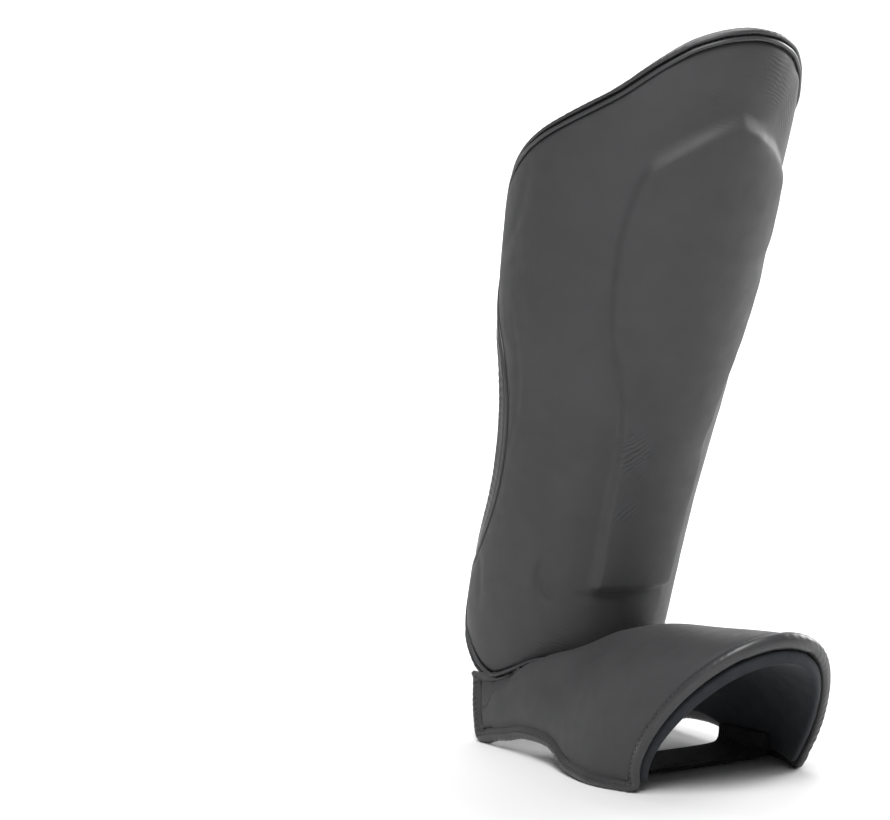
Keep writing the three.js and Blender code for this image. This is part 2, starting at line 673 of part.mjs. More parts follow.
const group = new THREE.Group();
group.name = "shin_instep_guard";
for (const [name, geometry, look] of pieces) {
  const mesh = new THREE.Mesh(geometry, new THREE.MeshStandardMaterial(look));
  mesh.name = name;
  group.add(mesh);
}

// The origin goes to the middle of the floor under the guard
const bounds = new THREE.Box3().setFromObject(group);
const middle = bounds.getCenter(new THREE.Vector3());
for (const mesh of group.children) mesh.geometry.translate(-middle.x, -middle.y, -bounds.min.z);

export default group;
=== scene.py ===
"""Padded shin and instep guard for the right leg, dressed over its solid model."""

import heapq
import math

import bmesh
import bpy
import numpy as np
from mathutils import Matrix, Vector
from mathutils.bvhtree import BVHTree
from mathutils.kdtree import KDTree


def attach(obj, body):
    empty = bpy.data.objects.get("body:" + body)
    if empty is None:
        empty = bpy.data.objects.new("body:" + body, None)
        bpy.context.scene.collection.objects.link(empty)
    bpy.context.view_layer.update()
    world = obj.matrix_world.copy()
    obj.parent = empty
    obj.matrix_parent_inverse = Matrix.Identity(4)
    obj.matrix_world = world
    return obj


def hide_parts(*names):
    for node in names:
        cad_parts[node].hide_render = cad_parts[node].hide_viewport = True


bl_info = {
    "name": "Shin and Instep Guard",
    "version": (1, 0, 0),
    "blender": (4, 5, 0),
    "location": "View3D > Sidebar > Guard",
    "description": "Builds a padded leather guard for the shin and the foot",
    "category": "Object",
}

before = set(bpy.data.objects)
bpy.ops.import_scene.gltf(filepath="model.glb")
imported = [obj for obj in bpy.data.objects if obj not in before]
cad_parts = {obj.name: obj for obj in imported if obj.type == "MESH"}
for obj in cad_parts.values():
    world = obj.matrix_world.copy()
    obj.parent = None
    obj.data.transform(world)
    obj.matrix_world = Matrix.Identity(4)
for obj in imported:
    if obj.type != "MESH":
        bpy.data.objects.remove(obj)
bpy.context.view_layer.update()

# Patches of fine folds on the shin: place in degrees and metres, half size of the patch, the centre
# that its arcs bend round, counted from the patch (across and up), and the depth as a share
FOLD_COLUMNS = ("wrap", "rise", "reach", "across", "up", "depth")
FOLDS = (
    (12.0, 0.41, 0.034, -0.03, -0.12, 0.36),
    (34.0, 0.38, 0.03, -0.12, -0.06, 0.22),
    (-8.0, 0.395, 0.02, -0.02, -0.1, 0.5),
    (-17.0, 0.172, 0.02, 0.09, -0.1, 0.9),
    (-16.0, 0.132, 0.014, 0.09, -0.07, 0.6),
    (-86.0, 0.27, 0.05, 0.2, 0.02, 0.12),
    (84.0, 0.2, 0.05, -0.2, 0.02, 0.4),
    (-45.0, 0.026, 0.03, 0.03, 0.12, 0.35),
)

# Soft dents in the shin: place, half length and half width, turn from upright, bend and depth
DENT_COLUMNS = ("wrap", "rise", "length", "width", "turn", "bend", "depth")
DENTS = (
    (-81, 0.178, 0.05, 0.0028, 4, 6, 0.0006),
    (81, 0.17, 0.05, 0.003, -5, 6, 0.0006),
    (-54, 0.075, 0.012, 0.0026, -12, -20, 0.0022),
    (-51, 0.065, 0.008, 0.0024, -50, -20, 0.0014),
    (-2, 0.0715, 0.024, 0.0026, 88, 0, 0.0013),
    (-96, 0.3, 0.03, 0.005, 20, 6, 0.0008),
    (100, 0.29, 0.035, 0.005, -16, 6, 0.0009),
    (-100, 0.06, 0.02, 0.004, -25, 6, 0.0007),
    (98, 0.07, 0.02, 0.004, 20, 6, 0.0007),
    (-38, 0.2, 0.06, 0.012, 2, 6, 0.0005),
    (-55, 0.31, 0.04, 0.016, -30, 6, 0.0006),
    (-16, 0.158, 0.012, 0.0013, -42, 12, 0.0005),
    (-14, 0.146, 0.01, 0.0012, -38, 12, 0.0004),
    (-12, 0.172, 0.009, 0.0012, -46, 12, 0.0004),
)

# How the pieces are made, in metres: corners that stay, as turn and hold
BAR_CORNER = (math.radians(24), 0.3)
SHELL_CORNER = (math.radians(50), 0.4)
LINING_CORNER = (math.radians(50), 0.3)
STRAP_CORNER = (math.radians(60), 0.8)
HOLLOW_TURN = math.radians(9)

# How much a face's normal points away from the leg or foot where it counts as the outside
COVER_FACES_OUT = 0.3
BAND_FACES_OUT = 0.2
EDGE_FACES_OUT = 0.35

# Seams: longest side of the piping's rings, steps along the seam, and what stays still as a cover swells
RING_SIDE = 0.002
GUIDE_STEP = 0.004
SEWING_STEP = 0.001
HELD_BY_PIPING = 0.012
HELD_BY_LINING = 0.004
HELD_BY_EDGE = 0.007
HELD_BY_SHIN = 0.007
RELIEF_START = 0.004
RELIEF_FADE = 0.006

# How the leathers are closed on each other: reach and overlap
PAD_TO_BAND = (0.0025, 0.003)
INSTEP_TO_BAND = (0.011, 0.002)
LINING_TO_PAD = (0.0007, 0.001)
BAND_TO_PAD = (0.0009, 0.002)
EDGE_TO_PAD = (0.0009, 0.0015)
HEEL_STAYS_BEHIND = 0.085
HEEL_FADE = -0.015

# Where the ankle seam sags: how far from the middle it starts, and how far the sag spreads
DIP_BESIDE = 0.02
DIP_LENGTH = 0.022
DIP_HEIGHT = 0.02

# The instep's press beside its edge, the creased heel corner and the bulge over the ankle seam
PRESS_WIDTH = 0.0045
LINING_CLEAR = 0.004
LINING_FADE = 0.003
CORNER_REACH = 0.021
CORNER_FADE = -0.004
CORNER_PRESS = 0.0009
CREASE_PRESS = 0.0016
CREASE_WIDTH = 0.0014
BULGE_BACK = 0.03
BULGE_LENGTH = 0.012
BULGE_WIDTH = 0.014
ANKLE_FOLDS = 0.2
ANKLE_FOLD_WIDTH = 0.012

# The instep's rolled edge: middle of the foot's section, gathers and the second row of stitch marks
FOOT_MIDDLE = (0.0, 0.0, 0.02)
HEEL_END = 0.05
HEEL_END_VERTICES = 6
EDGE_SINK = 0.0007
EDGE_SINK_WIDTH = 0.0012
SECOND_ROW_START = -0.05
SECOND_ROW_FADE = 0.02
GATHER_START = 0.02
GATHER_LEAST = 0.35
GATHER_MOST = 1.3

# A furrow and what lies beside it: widths, and places as shares of the furrow's distance from the seam
FURROW_WIDTH = 0.00055
RIDGE_PLACE = 0.4
RIDGE_WIDTH = 0.0005
ROLL_PLACE = 2.1
ROLL_WIDTH = 0.8
SECOND_ROW_PLACE = 2.0
SECOND_ROW_DEPTH = 0.6
SECOND_ROW_WIDTH = 0.0006
GATHER_GAP = 0.001
GATHER_FADE = 0.0012
INNER_GATHERS = 0.4
BAND_GATHERS = 0.4

# A stitch's place is the mean of the leather's vertices near it
STITCH_ACROSS = 0.0007
STITCH_ALONG = 0.0014
STITCH_WINDOW = 0.003
LEAST_SHARE = 0.05
BAND_NEIGHBOURS = 90

# Longest edge that stays undivided, and the cuts in a longer one
PIPING_CUTS = (0.006, 2)
BAND_CUTS = (0.009, 3)
EDGE_CUTS = (0.0065, 2)
BAND_SHIFT_REACH = 0.006
CALF_RADIUS = 0.07

# The floor's size and the sweep that rises behind the guard
FLOOR_SIZE = 8.0
SWEEP_RADIUS = 2.0
SWEEP_HEIGHT = 5.0
SWEEP_SHIFT = -0.6

# Lights: place ahead of the guard, to its left and up, what each is aimed at, and its size
LIGHT_COLUMNS = ("name", "ahead", "left", "up", "aim_ahead", "aim_up", "size", "power")
LIGHTS = (
    ("key_light", -1.5, 0.15, 2.15, 0.0, 0.2, 1.2, "key_power"),
    ("rim_light", 1.1, -1.7, 0.9, 0.0, 0.2, 1.0, "rim_power"),
    ("backdrop_light", 1.2, 0.0, 2.4, 3.4, 0.0, 2.0, "backdrop_power"),
)

# Sizes that a user would change


def number_field(name, description, default):
    """A plain number"""
    return bpy.props.FloatProperty(name=name, description=description, default=default)


def length_field(name, description, default):
    """A length in metres"""
    return bpy.props.FloatProperty(
        name=name, description=description, default=default, subtype="DISTANCE", unit="LENGTH"
    )


def angle_field(name, description, degrees):
    """An angle, given in degrees"""
    return bpy.props.FloatProperty(
        name=name, description=description, default=math.radians(degrees), subtype="ANGLE"
    )


def share_field(name, description, default):
    """A number from 0 to 1"""
    return bpy.props.FloatProperty(
        name=name, description=description, default=default, min=0.0, max=1.0, subtype="FACTOR"
    )


def colour_field(name, description, default):
    """A colour with its alpha"""
    return bpy.props.FloatVectorProperty(
        name=name, description=description, default=default, size=4, min=0.0, max=1.0, subtype="COLOR"
    )


class GuardForm(bpy.types.PropertyGroup):
    """Sizes of the shin's axis and of the padding"""

    shin_lean: angle_field("Shin lean", "Forward lean of the shin's axis", 16.6)
    ankle_back: length_field(
        "Ankle back", "How far behind the middle the axis stands at the ankle", 0.0949
    )
    ankle_height: length_field("Ankle height", "Height of the ankle point on the axis", 0.05)
    heel_half_width: length_field(
        "Heel half width", "How far the heel's upper corners stand from the middle", 0.063
    )
    heel_corner_back: length_field(
        "Heel corner back", "How far back the heel's upper corners stand", 0.093
    )
    heel_corner_height: length_field("Heel corner height", "Height of the heel's upper corners", 0.042)
    ankle_dip: length_field(
        "Ankle dip", "How far the seam of shin and instep sags beside the ankle", 0.0085
    )
    dip_back: length_field(
        "Dip back", "Where the seam sags most, counted from the middle towards the heel", -0.004
    )
    dip_rise: length_field("Dip rise", "Height of the seam up the shin's axis where it sags", 0.038)
    ankle_bulge: length_field(
        "Ankle bulge", "How far the instep's edge stands out behind the ankle", 0.0018
    )
    swell_pressure: number_field("Swell pressure", "Pressure of the foam under the leather", 4.0)
    swell_limit: length_field(
        "Swell limit", "Most that a point of the leather may move as it swells", 0.0014
    )
    swell_frames: bpy.props.IntProperty(
        name="Swell frames",
        description="Steps of the swelling",
        default=16,
    )
    fold_depth: length_field(
        "Fold depth", "Depth of the fine folds where the leather is pulled round a bend", 0.0006
    )
    fold_pitch: length_field("Fold pitch", "Distance from one fine fold to the next", 0.0026)


class GuardSewing(bpy.types.PropertyGroup):
    """Sizes of the seams, gathers and stitches"""

    stitch_pitch: length_field("Stitch pitch", "Distance from one stitch to the next", 0.0034)
    stitch_length: length_field("Stitch length", "Length of thread that shows in one stitch", 0.0024)
    thread_radius: length_field("Thread radius", "Radius of the sewing thread", 0.00035)
    gather_pitch: length_field(
        "Gather pitch", "Distance from one gather of the edge leather to the next", 0.0055
    )
    gather_depth: length_field("Gather depth", "Depth of the gathers in the edge leather", 0.0003)
    furrow_depth: length_field(
        "Furrow depth", "Depth of the furrow that a row of stitches pulls into the leather", 0.001
    )
    ridge_height: length_field(
        "Ridge height", "Height of the thin ridge between a cover and the furrow beside it", 0.0001
    )
    band_roll: length_field("Band roll", "How far the shin band swells beyond its furrow", 0.0009)
    edge_roll: length_field("Edge roll", "How far the instep edge swells beyond its furrow", 0.0006)
    cover_press: length_field(
        "Cover press", "How far a cover is pressed down where an edge leather is sewn to it", 0.0019
    )
    piping_shift: length_field(
        "Piping shift", "How far the piping lies in over the edge of the shin cover", 0.0016
    )
    band_furrow: length_field(
        "Band furrow", "How far the shin band's furrow lies from the middle of the piping", 0.0021
    )
    edge_furrow: length_field(
        "Edge furrow", "How far the instep edge's furrow lies from the cover", 0.0024
    )


class GuardFinish(bpy.types.PropertyGroup):
    """Colours and roughness of the finishes"""

    leather_colour: colour_field(
        "Leather colour", "Colour of the matt shell leather", (0.047, 0.047, 0.049, 1.0)
    )
    trim_colour: colour_field(
        "Trim colour", "Colour of the smoother edge leather", (0.037, 0.037, 0.039, 1.0)
    )
    lining_colour: colour_field(
        "Lining colour", "Colour of the lining cloth", (0.027, 0.03, 0.034, 1.0)
    )
    elastic_colour: colour_field(
        "Elastic colour", "Colour of the elastic straps", (0.018, 0.018, 0.019, 1.0)
    )
    thread_colour: colour_field(
        "Thread colour", "Colour of the sewing thread", (0.02, 0.02, 0.021, 1.0)
    )
    leather_roughness: share_field("Leather roughness", "Roughness of the matt shell leather", 0.58)
    trim_roughness: share_field("Trim roughness", "Roughness of the edge leather", 0.4)


class GuardStage(bpy.types.PropertyGroup):
    """Camera, lights and floor"""

    camera_place: bpy.props.FloatVectorProperty(
        name="Camera place",
        description="Where the camera stands",
        default=(-0.9039, -1.2978, 0.35),
        size=3,
        subtype="TRANSLATION",
        unit="LENGTH",
    )
    camera_heading: angle_field(
        "Camera heading", "Direction the camera looks in, from above, counted from +X", 59.6
    )
    camera_dip: angle_field("Camera dip", "How far the camera looks down", 4.8)
    camera_lens: number_field("Camera lens", "Focal length in millimetres", 103.15)
    floor_tone: share_field("Floor tone", "Brightness of the pale floor", 0.72)
    surround: number_field("Surround", "Brightness of the pale room", 0.18)
    key_power: number_field("Key power", "Power of the main soft light, in watts", 70.0)
    rim_power: number_field("Rim power", "Power of the light behind on the right, in watts", 42.0)
    backdrop_power: number_field(
        "Backdrop power", "Power of the light on the sweep behind, in watts", 115.0
    )


# Objects and meshes


def select_only(obj):
    """Makes obj the one selected and active object"""
    bpy.ops.object.select_all(action="DESELECT")
    obj.select_set(True)
    bpy.context.view_layer.objects.active = obj


def read_vertices(obj, field="co"):
    """Every vertex's place or normal as an array"""
    values = np.empty(len(obj.data.vertices) * 3)
    obj.data.vertices.foreach_get(field, values)
    return values.reshape(-1, 3)


def write_vertices(obj, places):
    """Puts every vertex at its place"""
    obj.data.vertices.foreach_set("co", places.ravel())
    obj.data.update()


def write_attribute(obj, name, values):
    """Stores one number for each vertex under a name that a material can read"""
    layer = obj.data.attributes.get(name) or obj.data.attributes.new(name, "FLOAT", "POINT")
    layer.data.foreach_set("value", np.asarray(values, np.float32))


def apply_modifier(obj, kind, **settings):
    """Adds a modifier with its settings and applies it"""
    select_only(obj)
    modifier = obj.modifiers.new(kind.title(), kind)
    for key, value in settings.items():
        setattr(modifier, key, value)
    bpy.ops.object.modifier_apply(modifier=modifier.name)


def smooth(obj, levels):
    """Rounds a mesh by subdivision"""
    apply_modifier(obj, "SUBSURF", levels=levels, render_levels=levels)


def copy_of(node, name):
    """A merged copy of a solid's mesh in four-sided faces, as a new object"""
    obj = bpy.data.objects.new(name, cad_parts[node].data.copy())
    obj.data.name = name
    obj.data.materials.clear()
    bpy.context.scene.collection.objects.link(obj)
    select_only(obj)
    bpy.ops.object.mode_set(mode="EDIT")
    bpy.ops.mesh.select_all(action="SELECT")
    bpy.ops.mesh.remove_doubles(threshold=0.00002)
    bpy.ops.mesh.customdata_custom_splitnormals_clear()
    bpy.ops.mesh.mark_sharp(clear=True)
    bpy.ops.mesh.tris_convert_to_quads(face_threshold=math.pi, shape_threshold=math.pi)
    bpy.ops.object.mode_set(mode="OBJECT")
    bpy.ops.object.shade_smooth()
    return obj


def select_edges(obj, wanted):
    """Opens a mesh for editing with only the wanted edges selected"""
    select_only(obj)
    bpy.ops.object.mode_set(mode="EDIT")
    bpy.ops.mesh.select_mode(type="EDGE")
    bpy.ops.mesh.select_all(action="DESELECT")
    mesh = bmesh.from_edit_mesh(obj.data)
    for edge in mesh.edges:
        edge.select = wanted(edge)
    bmesh.update_edit_mesh(obj.data)


def cut_long_edges(obj, longest, cuts):
    """Divides each edge longer than a length, so that gathers have faces to show on"""
    select_edges(obj, lambda edge: edge.calc_length() > longest)
    bpy.ops.mesh.subdivide(number_cuts=cuts, smoothness=1.0, quadcorner="STRAIGHT_CUT")
    bpy.ops.object.mode_set(mode="OBJECT")


def keep_corners(obj, angle, hold):
    """Makes the edges that turn by more than an angle hold their corner as the mesh is rounded"""
    select_edges(obj, lambda edge: len(edge.link_faces) == 2 and edge.calc_face_angle() > angle)
    bpy.ops.transform.edge_crease(value=hold)
    bpy.ops.object.mode_set(mode="OBJECT")


def dip_ankle(obj, form):
    """Lets whatever meets at the ankle seam sag beside the ankle, and stay above the floor"""
    points = read_vertices(obj)
    rise = shin_places(points, form)[1]
    beside = ramp(np.abs(points[:, 0]), DIP_BESIDE, DIP_BESIDE)
    near = bell(points[:, 1] - form.dip_back, DIP_LENGTH) * bell(rise - form.dip_rise, DIP_HEIGHT)
    points = points - np.outer(form.ankle_dip * beside * near, shin_axis(form)[1])
    points[:, 2] = np.maximum(points[:, 2], 0.0)
    write_vertices(obj, points)


def finish_piece(obj, material, slot, *nodes):
    """Gives a piece its material and its place in the frame, and hides the solids it stands for"""
    dip_ankle(obj, bpy.context.scene.guard_form)
    obj.data.materials.clear()
    obj.data.materials.append(bpy.data.materials[material])
    select_only(obj)
    bpy.ops.object.shade_smooth()
    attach(obj, "root")
    if nodes:
        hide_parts(*nodes)


def faces_of(node):
    """Search tree over the faces of one of the solids"""
    mesh = bmesh.new()
    mesh.from_mesh(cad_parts[node].data)
    tree = BVHTree.FromBMesh(mesh)
    mesh.free()
    return tree


def nearest_on(tree, points):
    """Nearest place on a search tree's faces for each point, and how far it is"""
    found = [tree.find_nearest(Vector(point)) for point in points]
    return np.array([item[0] for item in found]), np.array([item[3] for item in found])


def close_seam(obj, node, reach, overlap, where=1.0):
    """Moves what lies within reach of a neighbour's solid on into it, so that no light passes"""
    points = read_vertices(obj)
    places, gaps = nearest_on(faces_of(node), points)
    towards = (places - points) / np.maximum(gaps, 1e-9)[:, None]
    share = where * ramp(gaps, reach, -reach / 2)
    write_vertices(obj, points + towards * (share * (gaps + overlap))[:, None])


# Shapes of the leather


def shin_axis(form):
    """The ankle point, the axis and the way ahead of the shin"""
    lean = form.shin_lean
    foot = np.array([0.0, form.ankle_back, form.ankle_height])
    axis = np.array([0.0, -math.sin(lean), math.cos(lean)])
    ahead = np.array([0.0, -math.cos(lean), -math.sin(lean)])
    return foot, axis, ahead


def shin_places(points, form):
    """Angle round the shin from its front, distance up its axis and the way out from it"""
    foot, axis, ahead = shin_axis(form)
    offsets = points - foot
    rise = offsets @ axis
    across = offsets - np.outer(rise, axis)
    wrap = np.arctan2(across[:, 0], across @ ahead)
    return wrap, rise, across / np.linalg.norm(across, axis=1)[:, None]


def sewn_cord(obj, longest_side):
    """Centre line of a closed cord whose rings have sides shorter than a length, in order"""
    mesh = bmesh.new()
    mesh.from_mesh(obj.data)
    ring_of = {}
    rings = []
    for start in mesh.verts:
        if start in ring_of:
            continue
        ring = [start]
        ring_of[start] = len(rings)
        for vert in ring:
            for edge in vert.link_edges:
                other = edge.other_vert(vert)
                if edge.calc_length() < longest_side and other not in ring_of:
                    ring_of[other] = len(rings)
                    ring.append(other)
        rings.append(ring)
    beside = [set() for ring in rings]
    for edge in mesh.edges:
        a, b = (ring_of[vert] for vert in edge.verts)
        if a != b:
            beside[a].add(b)
            beside[b].add(a)
    order = [0]
    while len(order) < len(rings):
        onward = [k for k in beside[order[-1]] if k not in order]
        if not onward:
            raise RuntimeError(f"{obj.name}: the cord's rings don't follow each other")
        order.append(onward[0])
    centres = [sum((vert.co for vert in rings[k]), Vector()) / len(rings[k]) for k in order]
    mesh.free()
    return np.array(centres)


def even_steps(line, step):
    """Points at even steps along a closed line of points, and how far along each one lies"""
    points = np.vstack([line, line[:1]])
    lengths = np.linalg.norm(np.diff(points, axis=0), axis=1)
    along = np.concatenate([[0], np.cumsum(lengths)])
    count = max(2, round(along[-1] / step))
    marks = np.linspace(0, along[-1], count + 1)[:-1]
    return np.stack([np.interp(marks, along, points[:, k]) for k in range(3)], axis=1), marks


def swell(obj, sewn, form):
    """Lets a cover swell over its foam by cloth, held where it is sewn, within a limit"""
    start = read_vertices(obj)
    group = obj.vertex_groups.new(name="sewn")
    group.add([int(k) for k in np.flatnonzero(sewn)], 1.0, "REPLACE")
    select_only(obj)
    cloth = obj.modifiers.new("Cover", "CLOTH")
    cloth.settings.vertex_group_mass = group.name
    cloth.settings.use_pressure = True
    cloth.settings.uniform_pressure_force = form.swell_pressure
    cloth.settings.effector_weights.gravity = 0.0
    cloth.settings.tension_stiffness = 12.0
    cloth.settings.compression_stiffness = 12.0
    cloth.settings.bending_stiffness = 2.0
    cloth.point_cache.frame_start = 1
    cloth.point_cache.frame_end = form.swell_frames
    scene = bpy.context.scene
    for step in range(1, form.swell_frames + 1):
        scene.frame_set(step)
    bpy.ops.object.modifier_apply(modifier=cloth.name)
    scene.frame_set(1)
    moved = read_vertices(obj) - start
    far = np.linalg.norm(moved, axis=1, keepdims=True)
    share = np.minimum(1.0, form.swell_limit / np.maximum(far, 1e-9))
    write_vertices(obj, start + moved * share)
    obj.vertex_groups.clear()


def facing_out(obj, away, least):
    """True for each vertex whose normal points away by at least a share"""
    return (read_vertices(obj, "normal") * away).sum(axis=1) > least


def hollow_corners(obj, angle):
    """True for each vertex on an edge that folds inwards by more than an angle"""
    mesh = bmesh.new()
    mesh.from_mesh(obj.data)
    found = np.zeros(len(mesh.verts), bool)
    for edge in mesh.edges:
        if len(edge.link_faces) == 2 and edge.calc_face_angle_signed() < -angle:
            for vert in edge.verts:
                found[vert.index] = True
    mesh.free()
    return found


def tree_of(points):
    """Search tree over points"""
    tree = KDTree(len(points))
    for k, point in enumerate(points):
        tree.insert(point, k)
    tree.balance()
    return tree


def nearest_in_line(points, line):
    """How far each point is from a line of points, and which one is nearest"""
    tree = tree_of(line)
    found = [tree.find(point) for point in points]
    return np.array([item[2] for item in found]), np.array([item[1] for item in found])


def lengths_along(obj, start):
    """How far each vertex lies along a long piece, walked over its edges from the start vertices"""
    mesh = bmesh.new()
    mesh.from_mesh(obj.data)
    mesh.verts.ensure_lookup_table()
    along = np.full(len(mesh.verts), np.inf)
    queue = [(0.0, int(k)) for k in start]
    for length, k in queue:
        along[k] = length
    heapq.heapify(queue)
    while queue:
        length, k = heapq.heappop(queue)
        if length > along[k]:
            continue
        for edge in mesh.verts[k].link_edges:
            other = edge.other_vert(mesh.verts[k]).index
            further = length + edge.calc_length()
            if further < along[other]:
                along[other] = further
                heapq.heappush(queue, (further, other))
    mesh.free()
    return along


def ramp(values, start, width):
    """Zero before the start, rising to one over the width; a negative width ramps the other way"""
    return np.clip((values - start) / width, 0.0, 1.0)


def bell(values, width):
    """One at zero, falling to nothing over a few widths"""
    return np.exp(-((values / width) ** 2))


def pull_furrow(obj, along, across, outside, line, roll_height, sewing, gathered):
    """Presses a stitched furrow into an edge leather, which swells and gathers beyond it"""
    points = read_vertices(obj)
    normals = read_vertices(obj, "normal")
    dashes = 0.65 + 0.35 * np.cos(2 * math.pi * along / sewing.stitch_pitch)
    furrow = sewing.furrow_depth * bell(across - line, FURROW_WIDTH) * dashes
    ridge = sewing.ridge_height * bell(across - RIDGE_PLACE * line, RIDGE_WIDTH)
    roll = roll_height * bell(across - ROLL_PLACE * line, ROLL_WIDTH * line)
    wander = 1.3 * np.sin(along * 61.0) + 0.9 * np.sin(along * 137.0 + 1.0)
    wave = np.sin(2 * math.pi * along / sewing.gather_pitch + wander)
    uneven = 0.6 + 0.4 * np.sin(along * 83.0 + 2.0)
    beyond = ramp(across - line, GATHER_GAP, GATHER_FADE)
    gathers = sewing.gather_depth * wave * uneven * beyond * gathered
    push = np.where(outside, gathers + ridge + roll - furrow, INNER_GATHERS * gathers)
    write_vertices(obj, points + normals * push[:, None])


def press_dashes(obj, along, across, outside, line, share, sewing):
    """Presses a second, lighter row of stitch marks into an edge leather"""
    dashes = np.clip(np.cos(2 * math.pi * along / sewing.stitch_pitch), 0.0, 1.0)
    depth = SECOND_ROW_DEPTH * sewing.furrow_depth * bell(across - line, SECOND_ROW_WIDTH)
    depth = depth * dashes * share * outside
    write_vertices(obj, read_vertices(obj) - read_vertices(obj, "normal") * depth[:, None])


def sew_row(name, obj, along, across, outside, line, sewing):
    """A row of stitches lying in the furrow of an edge leather"""
    points = read_vertices(obj)
    normals = read_vertices(obj, "normal")
    weights = bell(across - line, STITCH_ACROSS) * outside
    chosen = np.flatnonzero(weights > LEAST_SHARE)
    chosen = chosen[np.argsort(along[chosen])]
    marks = np.arange(along[chosen].min(), along[chosen].max(), sewing.stitch_pitch)
    places = []
    for mark in marks:
        near = chosen[np.searchsorted(along[chosen], mark - STITCH_WINDOW) :]
        near = near[: np.searchsorted(along[near], mark + STITCH_WINDOW)]
        share = weights[near] * bell(along[near] - mark, STITCH_ALONG)
        if share.sum() > LEAST_SHARE:
            place = share @ points[near] / share.sum()
            places.append((mark, place, share @ normals[near]))
    stitch = stitch_mesh(sewing)
    rows = []
    for last, this, following in zip(places, places[1:], places[2:]):
        before, start, _ = last
        _, place, normal = this
        after, end, _ = following
        if after - before > 3 * sewing.stitch_pitch:
            continue
        run = (end - start) / np.linalg.norm(end - start)
        lift = normal - run * (normal @ run)
        lift /= np.linalg.norm(lift)
        side = np.cross(lift, run)
        place = place + lift * sewing.thread_radius * 0.3
        rows.append(stitch["points"] @ np.array([side, run, lift]) + place)
    return mesh_of_copies(name, rows, stitch["faces"])


def stitch_mesh(sewing):
    """One stitch lying along Y: a short thread whose two ends dip into the leather"""
    bpy.ops.object.select_all(action="DESELECT")
    bpy.ops.mesh.primitive_cylinder_add(
        vertices=8,
        radius=sewing.thread_radius,
        depth=sewing.stitch_length,
        rotation=(math.pi / 2, 0.0, 0.0),
    )
    obj = bpy.context.object
    bpy.ops.object.transform_apply(location=True, rotation=True, scale=True)
    bpy.ops.object.mode_set(mode="EDIT")
    bpy.ops.mesh.select_all(action="DESELECT")
    bpy.ops.mesh.select_mode(type="EDGE")
    mesh = bmesh.from_edit_mesh(obj.data)
    for edge in mesh.edges:
        edge.select = abs(edge.verts[0].co.y - edge.verts[1].co.y) > sewing.stitch_length / 2
    bmesh.update_edit_mesh(obj.data)
    bpy.ops.mesh.subdivide(number_cuts=3)
    bpy.ops.object.mode_set(mode="OBJECT")
    points = read_vertices(obj)
    share = 2 * np.abs(points[:, 1]) / sewing.stitch_length
    points[:, 0] *= 1 - 0.45 * share**3
    points[:, 2] *= 1 - 0.45 * share**3
    points[:, 2] -= sewing.thread_radius * 1.6 * share**2
    faces = [tuple(face.vertices) for face in obj.data.polygons]
    bpy.data.objects.remove(obj)
    return {"points": points, "faces": faces}


def mesh_of_copies(name, copies, faces):
    """One object from many moved copies of a small mesh"""
    count = len(copies[0])
    every = [tuple(k + n * count for k in face) for n in range(len(copies)) for face in faces]
    mesh = bpy.data.meshes.new(name)
    mesh.from_pydata(np.concatenate(copies).tolist(), [], every)
    obj = bpy.data.objects.new(name, mesh)
    bpy.context.scene.collection.objects.link(obj)
    return obj


# Materials


